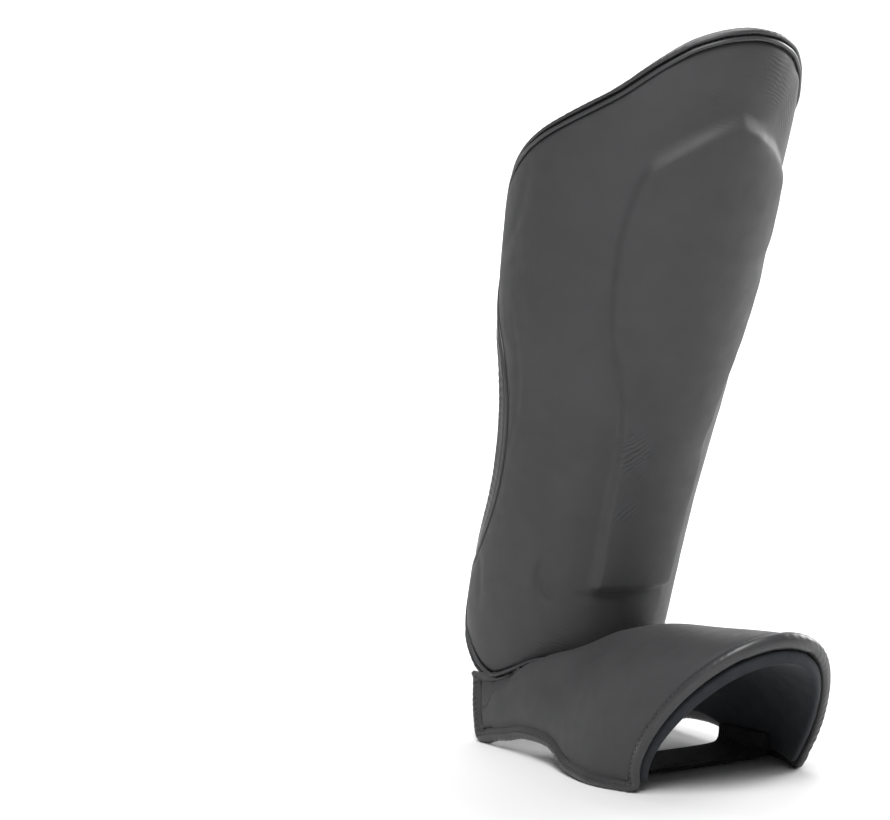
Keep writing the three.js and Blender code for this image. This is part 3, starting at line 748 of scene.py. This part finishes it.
class Finish:
    """A material with its nodes, built step by step"""

    def __init__(self, name):
        self.material = bpy.data.materials.new(name)
        self.material.use_nodes = True
        self.nodes = self.material.node_tree.nodes
        self.links = self.material.node_tree.links
        self.shader = next(node for node in self.nodes if node.type == "BSDF_PRINCIPLED")
        self.places = self.nodes.new("ShaderNodeTexCoord").outputs["Object"]

    def node(self, kind, inputs=None, **settings):
        """A new node with its settings and its inputs' values"""
        node = self.nodes.new(kind)
        for key, value in settings.items():
            setattr(node, key, value)
        for key, value in (inputs or {}).items():
            node.inputs[key].default_value = value
        return node

    def noise(self, scale, detail):
        """Even cloudy noise from 0 to 1"""
        node = self.node("ShaderNodeTexNoise", {"Scale": scale, "Detail": detail})
        self.links.new(self.places, node.inputs["Vector"])
        return node.outputs["Fac"]

    def spread(self, value, low, high):
        """A cloudy value spread from its usual reach to low..high"""
        limits = {"From Min": 0.3, "From Max": 0.7, "To Min": low, "To Max": high}
        node = self.node("ShaderNodeMapRange", limits)
        self.links.new(value, node.inputs["Value"])
        return node.outputs["Result"]

    def tones(self, value, colour, share):
        """Base colour that drifts by a share each way"""
        node = self.node("ShaderNodeMix", data_type="RGBA")
        dark, light = [socket for socket in node.inputs if socket.type == "RGBA"]
        dark.default_value = [part * (1 - share) for part in colour[:3]] + [1.0]
        light.default_value = [part * (1 + share) for part in colour[:3]] + [1.0]
        self.links.new(self.spread(value, 0.0, 1.0), node.inputs[0])
        mixed = next(socket for socket in node.outputs if socket.type == "RGBA")
        self.links.new(mixed, self.shader.inputs["Base Color"])

    def bump(self, height, distance):
        """Relief of a height in metres, laid over what the material already has"""
        node = self.node("ShaderNodeBump", {"Strength": 1.0, "Distance": distance})
        self.links.new(height, node.inputs["Height"])
        before = self.shader.inputs["Normal"].links
        if before:
            self.links.new(before[0].from_socket, node.inputs["Normal"])
        self.links.new(node.outputs["Normal"], self.shader.inputs["Normal"])

    def stored(self, name):
        """A number stored on the mesh"""
        return self.node("ShaderNodeAttribute", attribute_name=name).outputs["Fac"]

    def times(self, a, b):
        """Product of two values"""
        node = self.node("ShaderNodeMath", operation="MULTIPLY")
        self.links.new(a, node.inputs[0])
        self.links.new(b, node.inputs[1])
        return node.outputs[0]

    def waves(self, value, pitch, waver):
        """Uneven waves along a stored length, one to each pitch"""
        along = self.node("ShaderNodeCombineXYZ")
        self.links.new(value, along.inputs["X"])
        shift = self.node("ShaderNodeVectorMath", operation="SCALE")
        cloud = self.node("ShaderNodeTexNoise", {"Scale": 55.0, "Detail": 3.0})
        self.links.new(self.places, cloud.inputs["Vector"])
        self.links.new(cloud.outputs["Color"], shift.inputs[0])
        shift.inputs["Scale"].default_value = waver
        total = self.node("ShaderNodeVectorMath", operation="ADD")
        self.links.new(along.outputs["Vector"], total.inputs[0])
        self.links.new(shift.outputs["Vector"], total.inputs[1])
        wave = self.node("ShaderNodeTexWave", {"Scale": 0.314 / pitch}, bands_direction="X")
        self.links.new(total.outputs["Vector"], wave.inputs["Vector"])
        return wave.outputs["Fac"]


def leather_finish(name, colour, roughness, shine, grain):
    """Leather with a drifting tone and a fine pebbled grain"""
    finish = Finish(name)
    finish.shader.inputs["Specular IOR Level"].default_value = shine
    finish.tones(finish.noise(26.0, 4.0), colour, 0.07)
    rough = finish.spread(finish.noise(90.0, 3.0), roughness - 0.05, roughness + 0.06)
    finish.links.new(rough, finish.shader.inputs["Roughness"])
    cells = finish.node("ShaderNodeTexVoronoi", {"Scale": 1100.0}, feature="SMOOTH_F1")
    finish.links.new(finish.places, cells.inputs["Vector"])
    finish.bump(cells.outputs["Distance"], grain)
    finish.bump(finish.noise(420.0, 4.0), grain * 1.4)
    return finish


def cloth_finish(name, colour, rib, depth):
    """Matt cloth: fine ribs along a stored length, crossed by finer threads"""
    finish = Finish(name)
    finish.shader.inputs["Roughness"].default_value = 0.95
    finish.shader.inputs["Specular IOR Level"].default_value = 0.2
    finish.shader.inputs["Sheen Weight"].default_value = 0.05
    finish.shader.inputs["Sheen Roughness"].default_value = 0.5
    finish.tones(finish.noise(120.0, 3.0), colour, 0.12)
    finish.bump(finish.waves(finish.stored("along"), rib, 0.0004), depth)
    finish.bump(finish.waves(finish.stored("across"), rib * 0.7, 0.0004), depth * 0.7)
    finish.bump(finish.noise(1400.0, 2.0), depth * 0.8)
    return finish


# Pieces


class GUARD_OT_finishes(bpy.types.Operator):
    """The leathers, cloths and thread that the pieces share"""

    bl_idname = "guard.finishes"
    bl_label = "Finishes"

    def execute(self, context):
        look = context.scene.guard_finish
        form = context.scene.guard_form
        tone, matt = look.leather_colour, look.leather_roughness
        shell = leather_finish("matt_shell_leather", tone, matt, 0.35, 0.00003)
        folds = shell.waves(shell.stored("fold_across"), form.fold_pitch, 0.008)
        patchy = shell.spread(shell.noise(150.0, 3.0), 0.0, 1.0)
        folds = shell.times(shell.times(folds, patchy), shell.stored("fold_share"))
        shell.bump(folds, form.fold_depth)
        leather_finish("smooth_edge_leather", look.trim_colour, look.trim_roughness, 0.5, 0.000015)
        cloth_finish("lining_knit", look.lining_colour, 0.0011, 0.00005)
        cloth_finish("strap_webbing", look.elastic_colour, 0.0026, 0.0005)
        thread = Finish("sewing_thread")
        thread.shader.inputs["Roughness"].default_value = 0.6
        thread.tones(thread.noise(300.0, 2.0), look.thread_colour, 0.2)
        return {"FINISHED"}


def fold_pattern(wrap, rise, radius):
    """For each point, how far it lies across the nearest patch's folds and how strong they are"""
    across = np.zeros(len(wrap))
    share = np.zeros(len(wrap))
    for row in FOLDS:
        patch = dict(zip(FOLD_COLUMNS, row))
        aside = (wrap - math.radians(patch["wrap"])) * radius
        up = rise - patch["rise"]
        strength = patch["depth"] * bell(np.hypot(aside, up), patch["reach"] * 0.6)
        bend = np.hypot(aside - patch["across"], up - patch["up"])
        stronger = strength > share
        across = np.where(stronger, bend, across)
        share = np.where(stronger, strength, share)
    return across, share


def press_dents(obj, wrap, rise, radius, away, free):
    """Presses the soft dents of the table into the leather"""
    depth = np.zeros(len(wrap))
    for row in DENTS:
        dent = dict(zip(DENT_COLUMNS, row))
        aside = (wrap - math.radians(dent["wrap"])) * radius
        up = rise - dent["rise"]
        turn = math.radians(dent["turn"])
        length = up * math.cos(turn) + aside * math.sin(turn)
        width = aside * math.cos(turn) - up * math.sin(turn)
        width = width + dent["bend"] * length**2
        depth += dent["depth"] * bell(width, dent["width"]) * bell(length, dent["length"])
    write_vertices(obj, read_vertices(obj) - away * (depth * free)[:, None])


class GUARD_OT_shin_cover(bpy.types.Operator):
    """The padded leather of the shin, with its raised bar"""

    bl_idname = "guard.shin_cover"
    bl_label = "Shin Cover"

    def execute(self, context):
        form = context.scene.guard_form
        cover = copy_of("shin_pad", "shin_cover")
        keep_corners(cover, *BAR_CORNER)
        smooth(cover, 1)
        cord = copy_of("shin_piping", "seam_guide")
        seam = even_steps(sewn_cord(cord, RING_SIDE), GUIDE_STEP)[0]
        bpy.data.objects.remove(cord)
        points = read_vertices(cover)
        away = shin_places(points, form)[2]
        outside = facing_out(cover, away, COVER_FACES_OUT)
        to_seam = nearest_in_line(points, seam)[0]
        held = ~outside | (to_seam < HELD_BY_PIPING) | hollow_corners(cover, HOLLOW_TURN)
        swell(cover, held, form)
        smooth(cover, 2)
        points = read_vertices(cover)
        wrap, rise, away = shin_places(points, form)
        outside = facing_out(cover, away, COVER_FACES_OUT)
        inset = ramp(nearest_in_line(points, seam)[0], RELIEF_START, RELIEF_FADE)
        radius = (points - shin_axis(form)[0]) @ shin_axis(form)[2]
        radius = np.hypot(radius, points[:, 0])
        press_dents(cover, wrap, rise, radius, away, outside * inset)
        across, share = fold_pattern(wrap, rise, radius)
        write_attribute(cover, "fold_across", across)
        write_attribute(cover, "fold_share", share * outside * inset)
        finish_piece(cover, "matt_shell_leather", "shell_leather", "shin_pad")
        return {"FINISHED"}


class GUARD_OT_instep_cover(bpy.types.Operator):
    """The padded leather over the foot"""

    bl_idname = "guard.instep_cover"
    bl_label = "Instep Cover"

    def gaps(self, cover):
        """How far each vertex is from the lining, the rolled edge and the shin's band"""
        points = read_vertices(cover)
        return [
            nearest_on(faces_of(node), points)[1]
            for node in ("instep_lining", "instep_binding", "shin_edge_band")
        ]

    def execute(self, context):
        form = context.scene.guard_form
        sewing = context.scene.guard_sewing
        cover = copy_of("instep_pad", "instep_cover")
        close_seam(cover, "shin_edge_band", *PAD_TO_BAND)
        keep_corners(cover, *SHELL_CORNER)
        smooth(cover, 1)
        to_lining, to_edge, to_shin = self.gaps(cover)
        held = (to_lining < HELD_BY_LINING) | (to_edge < HELD_BY_EDGE) | (to_shin < HELD_BY_SHIN)
        swell(cover, held, form)
        smooth(cover, 2)
        ahead_of_heel = ramp(read_vertices(cover)[:, 1], HEEL_STAYS_BEHIND, HEEL_FADE)
        close_seam(cover, "shin_edge_band", *INSTEP_TO_BAND, ahead_of_heel)
        points = read_vertices(cover)
        to_lining, to_edge, to_shin = self.gaps(cover)
        outer = ramp(to_lining, LINING_CLEAR, LINING_FADE)
        press = sewing.cover_press * bell(to_edge, PRESS_WIDTH)
        corner = np.array([form.heel_half_width, form.heel_corner_back, form.heel_corner_height])
        one_side = np.column_stack([np.abs(points[:, 0]), points[:, 1:]])
        to_corner = np.linalg.norm(one_side - corner, axis=1)
        press = np.maximum(press, CORNER_PRESS * ramp(to_corner, CORNER_REACH, CORNER_FADE))
        press = np.maximum(press, CREASE_PRESS * bell(to_corner - CORNER_REACH, CREASE_WIDTH)) * outer
        bulge = form.ankle_bulge * bell(points[:, 1] - BULGE_BACK, BULGE_LENGTH)
        bulge = bulge * bell(to_shin, BULGE_WIDTH)
        normals = read_vertices(cover, "normal")
        write_vertices(cover, points - normals * (press - bulge)[:, None])
        write_attribute(cover, "fold_across", points[:, 2] + 0.4 * points[:, 1])
        write_attribute(cover, "fold_share", ANKLE_FOLDS * bell(to_shin, ANKLE_FOLD_WIDTH))
        finish_piece(cover, "matt_shell_leather", "shell_leather", "instep_pad")
        return {"FINISHED"}


class GUARD_OT_instep_lining(bpy.types.Operator):
    """The cloth lining over its foam inside the instep"""

    bl_idname = "guard.instep_lining"
    bl_label = "Instep Lining"

    def execute(self, context):
        lining = copy_of("instep_lining", "instep_lining_cloth")
        close_seam(lining, "instep_pad", *LINING_TO_PAD)
        keep_corners(lining, *LINING_CORNER)
        smooth(lining, 2)
        points = read_vertices(lining)
        write_attribute(lining, "along", points[:, 1])
        write_attribute(lining, "across", points[:, 2] * 0.7 + np.abs(points[:, 0]) * 0.7)
        finish_piece(lining, "lining_knit", "lining_cloth", "instep_lining")
        return {"FINISHED"}


def towards_pad(seam, band, form):
    """For each point of the seam, the way along the leather from the band to the pad"""
    points = read_vertices(band)
    tree = tree_of(points)
    near = [[k for _, k, _ in tree.find_n(point, BAND_NEIGHBOURS)] for point in seam]
    beside = np.array([points[found].mean(axis=0) for found in near])
    away = shin_places(seam, form)[2]
    run = np.roll(seam, -1, axis=0) - np.roll(seam, 1, axis=0)
    run /= np.linalg.norm(run, axis=1)[:, None]
    way = np.cross(run, away)
    side = np.sign(((seam - beside) * way).sum(axis=1))
    return way * (1 if side.mean() > 0 else -1) / np.linalg.norm(way, axis=1)[:, None]


def move_with_seam(obj, seam, shift, reach):
    """Moves a piece with its nearest point of the seam, fully or fading out over a reach"""
    points = read_vertices(obj)
    far, index = nearest_in_line(points, seam)
    share = np.clip(1 - far / reach, 0.0, 1.0) if reach else np.ones(len(points))
    write_vertices(obj, points + shift[index] * share[:, None])


class GUARD_OT_shin_edge(bpy.types.Operator):
    """The gathered band round the shin cover, its stitches and the piping in its seam"""

    bl_idname = "guard.shin_edge"
    bl_label = "Shin Edge"

    def execute(self, context):
        form = context.scene.guard_form
        sewing = context.scene.guard_sewing
        piping = copy_of("shin_piping", "shin_piping_cord")
        seam, marks = even_steps(sewn_cord(piping, RING_SIDE), SEWING_STEP)
        cut_long_edges(piping, *PIPING_CUTS)
        smooth(piping, 2)
        band = copy_of("shin_edge_band", "shin_edge_leather")
        close_seam(band, "shin_pad", *BAND_TO_PAD)
        cut_long_edges(band, *BAND_CUTS)
        smooth(band, 2)
        shift = sewing.piping_shift * towards_pad(seam, band, form)
        move_with_seam(piping, seam, shift, 0.0)
        move_with_seam(band, seam, shift, BAND_SHIFT_REACH)
        seam = seam + shift
        finish_piece(piping, "smooth_edge_leather", "trim_leather", "shin_piping")
        points = read_vertices(band)
        across, index = nearest_in_line(points, seam)
        along = marks[index]
        outside = facing_out(band, shin_places(points, form)[2], BAND_FACES_OUT)
        line = sewing.band_furrow
        pull_furrow(band, along, across, outside, line, sewing.band_roll, sewing, BAND_GATHERS)
        stitches = sew_row("shin_edge_stitches", band, along, across, outside, line, sewing)
        finish_piece(band, "smooth_edge_leather", "shell_leather", "shin_edge_band")
        finish_piece(stitches, "sewing_thread", "strap_elastic")
        return {"FINISHED"}


class GUARD_OT_instep_edge(bpy.types.Operator):
    """The rolled leather edge of the instep, with its stitched furrow"""

    bl_idname = "guard.instep_edge"
    bl_label = "Instep Edge"

    def execute(self, context):
        sewing = context.scene.guard_sewing
        edge = copy_of("instep_binding", "instep_edge_leather")
        close_seam(edge, "instep_pad", *EDGE_TO_PAD)
        cut_long_edges(edge, *EDGE_CUTS)
        smooth(edge, 2)
        points = read_vertices(edge)
        across = nearest_on(faces_of("instep_pad"), points)[1]
        away = points * np.array([1.0, 0.0, 1.0]) - np.array(FOOT_MIDDLE)
        away /= np.linalg.norm(away, axis=1)[:, None]
        outside = facing_out(edge, away, EDGE_FACES_OUT)
        start = np.flatnonzero((points[:, 0] < 0) & (points[:, 1] > HEEL_END))
        start = start[np.argsort(-points[start, 2])[:HEEL_END_VERTICES]]
        along = lengths_along(edge, start)
        gathered = np.clip((points[:, 0] - GATHER_START) / GATHER_START, GATHER_LEAST, GATHER_MOST)
        line = sewing.edge_furrow
        pull_furrow(edge, along, across, outside, line, sewing.edge_roll, sewing, gathered)
        sink = EDGE_SINK * bell(across, EDGE_SINK_WIDTH) * outside
        write_vertices(edge, read_vertices(edge) - read_vertices(edge, "normal") * sink[:, None])
        heel = ramp(points[:, 1], SECOND_ROW_START, SECOND_ROW_FADE)
        press_dashes(edge, along, across, outside, SECOND_ROW_PLACE * line, heel, sewing)
        stitches = sew_row("instep_edge_stitches", edge, along, across, outside, line, sewing)
        finish_piece(edge, "smooth_edge_leather", "trim_leather", "instep_binding")
        finish_piece(stitches, "sewing_thread", "strap_elastic")
        return {"FINISHED"}


class GUARD_OT_straps(bpy.types.Operator):
    """The two calf straps and the strap under the sole"""

    bl_idname = "guard.straps"
    bl_label = "Straps"

    def execute(self, context):
        form = context.scene.guard_form
        for node in ("foot_strap", "calf_strap_lower", "calf_strap_upper"):
            strap = copy_of(node, f"{node}_webbing")
            keep_corners(strap, *STRAP_CORNER)
            smooth(strap, 3)
            points = read_vertices(strap)
            wrap, rise = shin_places(points, form)[:2]
            sole = node == "foot_strap"
            write_attribute(strap, "along", points[:, 0] if sole else wrap * CALF_RADIUS)
            write_attribute(strap, "across", points[:, 1] if sole else rise)
            finish_piece(strap, "strap_webbing", "strap_elastic", node)
        return {"FINISHED"}


class GUARD_OT_stage(bpy.types.Operator):
    """Pale floor that sweeps up behind, soft lights and the camera"""

    bl_idname = "guard.stage"
    bl_label = "Stage"

    def execute(self, context):
        stage = context.scene.guard_stage
        heading = Vector((math.cos(stage.camera_heading), math.sin(stage.camera_heading), 0.0))
        bpy.ops.object.select_all(action="DESELECT")
        bpy.ops.mesh.primitive_plane_add(size=FLOOR_SIZE, location=(0.0, 0.0, 0.0))
        floor = context.object
        floor.name = "pale_floor"
        bpy.ops.object.mode_set(mode="EDIT")
        bpy.ops.mesh.select_mode(type="EDGE")
        bpy.ops.mesh.select_all(action="DESELECT")
        mesh = bmesh.from_edit_mesh(floor.data)
        for rim in mesh.edges:
            rim.select = all(vert.co.x > 0.49 * FLOOR_SIZE for vert in rim.verts)
        bmesh.update_edit_mesh(floor.data)
        bpy.ops.mesh.extrude_region_move(TRANSFORM_OT_translate={"value": (0.0, 0.0, SWEEP_HEIGHT)})
        bpy.ops.object.mode_set(mode="OBJECT")
        apply_modifier(floor, "BEVEL", width=SWEEP_RADIUS, segments=16)
        floor.data.transform(Matrix.Translation((SWEEP_SHIFT, 0.0, 0.0)))
        floor.data.transform(Matrix.Rotation(stage.camera_heading, 4, "Z"))
        bpy.ops.object.shade_smooth()
        paint = Finish("pale_floor")
        paint.shader.inputs["Base Color"].default_value = (stage.floor_tone,) * 3 + (1.0,)
        paint.shader.inputs["Roughness"].default_value = 0.9
        floor.data.materials.append(paint.material)

        world = bpy.data.worlds.new("pale_room")
        world.use_nodes = True
        back = next(node for node in world.node_tree.nodes if node.type == "BACKGROUND")
        back.inputs["Color"].default_value = (1.0, 1.0, 1.0, 1.0)
        back.inputs["Strength"].default_value = stage.surround
        context.scene.world = world
        context.scene.view_settings.view_transform = "Standard"

        left = Vector((-heading.y, heading.x, 0.0))
        up = Vector((0.0, 0.0, 1.0))
        for row in LIGHTS:
            lamp = dict(zip(LIGHT_COLUMNS, row))
            place = lamp["ahead"] * heading + lamp["left"] * left + lamp["up"] * up
            aim = lamp["aim_ahead"] * heading + lamp["aim_up"] * up
            bpy.ops.object.light_add(type="AREA", location=place)
            light = context.object
            light.name = lamp["name"]
            light.data.shape = "SQUARE"
            light.data.size = lamp["size"]
            light.data.energy = getattr(stage, lamp["power"])
            light.rotation_mode = "QUATERNION"
            light.rotation_quaternion = (aim - place).to_track_quat("-Z", "Y")

        bpy.ops.object.camera_add(location=stage.camera_place)
        camera = context.object
        camera.name = "studio_camera"
        look = heading * math.cos(stage.camera_dip) - up * math.sin(stage.camera_dip)
        camera.rotation_mode = "QUATERNION"
        camera.rotation_quaternion = look.to_track_quat("-Z", "Y")
        camera.data.lens = stage.camera_lens
        camera.data.sensor_width = 36.0
        camera.data.clip_start = 0.01
        camera.data.clip_end = 50.0
        context.scene.camera = camera
        return {"FINISHED"}


PIECES = (
    GUARD_OT_finishes,
    GUARD_OT_shin_cover,
    GUARD_OT_instep_cover,
    GUARD_OT_instep_lining,
    GUARD_OT_shin_edge,
    GUARD_OT_instep_edge,
    GUARD_OT_straps,
    GUARD_OT_stage,
)


class GUARD_PT_panel(bpy.types.Panel):
    """Buttons for each piece of the guard, and their sizes"""

    bl_idname = "GUARD_PT_panel"
    bl_label = "Shin and Instep Guard"
    bl_space_type = "VIEW_3D"
    bl_region_type = "UI"
    bl_category = "Guard"

    def draw(self, context):
        for operator in PIECES:
            self.layout.operator(operator.bl_idname)
        for group_name in GROUPS:
            group = getattr(context.scene, group_name)
            box = self.layout.box()
            for name in group.bl_rna.properties.keys():
                if name not in ("rna_type", "name"):
                    box.prop(group, name)


GROUPS = {
    "guard_form": GuardForm,
    "guard_sewing": GuardSewing,
    "guard_finish": GuardFinish,
    "guard_stage": GuardStage,
}
CLASSES = (*GROUPS.values(), *PIECES, GUARD_PT_panel)


def register():
    """Registers the classes and hangs the sizes on the scene"""
    for item in CLASSES:
        bpy.utils.register_class(item)
    for name, group in GROUPS.items():
        setattr(bpy.types.Scene, name, bpy.props.PointerProperty(type=group))


def unregister():
    """Takes the sizes off the scene and the classes away"""
    for name in GROUPS:
        delattr(bpy.types.Scene, name)
    for item in reversed(CLASSES):
        bpy.utils.unregister_class(item)


def main():
    """Builds every piece"""
    register()
    bpy.ops.guard.finishes()
    bpy.ops.guard.shin_cover()
    bpy.ops.guard.instep_cover()
    bpy.ops.guard.instep_lining()
    bpy.ops.guard.shin_edge()
    bpy.ops.guard.instep_edge()
    bpy.ops.guard.straps()
    bpy.ops.guard.stage()


if __name__ == "__main__":
    main()
